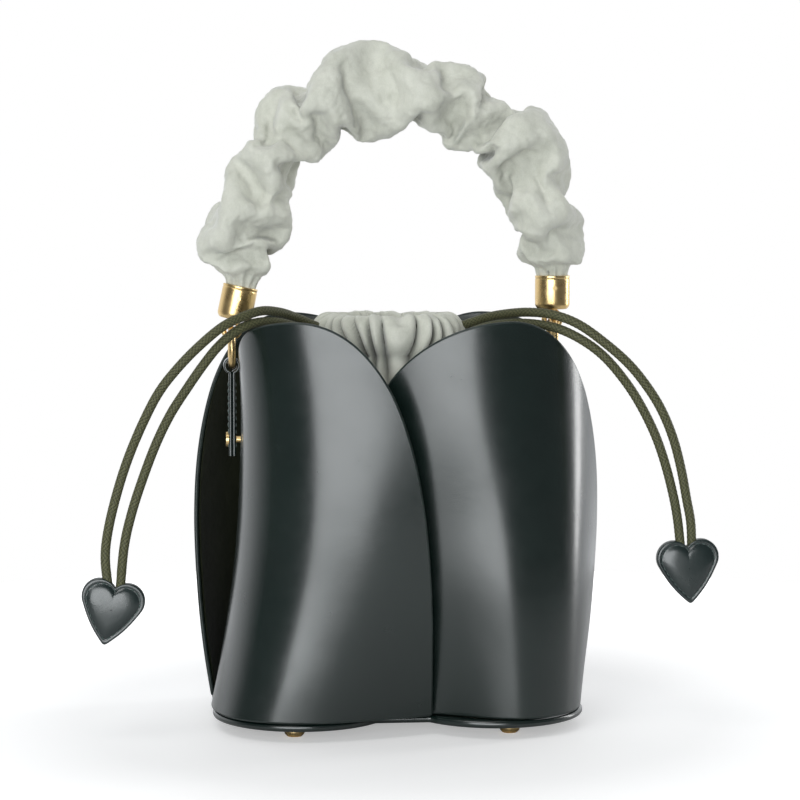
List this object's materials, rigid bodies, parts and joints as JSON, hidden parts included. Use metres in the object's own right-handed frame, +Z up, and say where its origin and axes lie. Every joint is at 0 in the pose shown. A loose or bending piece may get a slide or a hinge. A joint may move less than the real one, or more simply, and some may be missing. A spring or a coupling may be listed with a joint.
{
  "type": "bucket bag",
  "caption": "Mini bucket bag of overlapping leather petals round a drawstring suede pouch, with a gathered handle on ferrules and heart-ended drawcords.",
  "frame": {"origin": "on the floor, under the middle of the feet", "axes": "+X to the bag's left-to-right as seen from the front, -Y the front, +Z up; the handle arch lies in the XZ plane"},
  "size_m": [0.2736, 0.1244, 0.2965],
  "materials": {
    "petal_leather": "polished, very dark green",
    "heart_leather": "semi-gloss, dark teal green, painted edges",
    "lining": "matt, dark olive",
    "suede": "soft napped suede, light sage grey",
    "cord": "braided, waxed, olive",
    "gold_metal": "polished, gold plated",
    "stiff_board": "grey board",
    "padding": "felt",
    "rope_core": "twisted cotton rope"
  },
  "bodies": {
    "bag": {"base_cover": "petal_leather", "base_board": "stiff_board", "foot_front_left": "gold_metal", "foot_front_right": "gold_metal", "foot_back_left": "gold_metal", "foot_back_right": "gold_metal", "foot_nuts": "gold_metal", "petal_front_left": "petal_leather", "petal_front_right": "petal_leather", "petal_back_right": "petal_leather", "petal_back_left": "petal_leather", "lining_front_left": "lining", "lining_front_right": "lining", "lining_back_right": "lining", "lining_back_left": "lining", "pouch": "suede", "pouch_casing": "suede", "drawcord_left_loop": "cord", "drawcord_left_outer": "cord", "drawcord_left_inner": "cord", "drawcord_right_loop": "cord", "drawcord_right_outer": "cord", "drawcord_right_inner": "cord", "heart_left_front": "heart_leather", "heart_left_back": "heart_leather", "heart_right_front": "heart_leather", "heart_right_back": "heart_leather", "heart_left_padding": "padding", "heart_right_padding": "padding", "ring_tab_left": "petal_leather", "ring_tab_right": "petal_leather", "tab_rivet_left": "gold_metal", "tab_rivet_right": "gold_metal"},
    "handle": {"handle_core": "rope_core", "handle_sleeve": "suede", "ferrule_left": "gold_metal", "ferrule_right": "gold_metal", "ferrule_pin_left": "gold_metal", "ferrule_pin_right": "gold_metal"},
    "o_ring_left": {"o_ring_left": "gold_metal"},
    "o_ring_right": {"o_ring_right": "gold_metal"}
  },
  "joints": [
    {"name": "handle_swing", "type": "hinge", "parent": "bag", "child": "handle", "pos_m": [-0.0725, 0, 0.1665], "axis": [0.9996, 0, 0.0279], "range_deg": [-60, 40]},
    {"name": "o_ring_left_turn", "type": "hinge", "parent": "bag", "child": "o_ring_left", "pos_m": [-0.0725, 0, 0.1665], "axis": [1, 0, 0], "continuous": true},
    {"name": "o_ring_right_turn", "type": "hinge", "parent": "bag", "child": "o_ring_right", "pos_m": [0.071, 0, 0.1705], "axis": [1, 0, 0], "continuous": true}
  ]
}
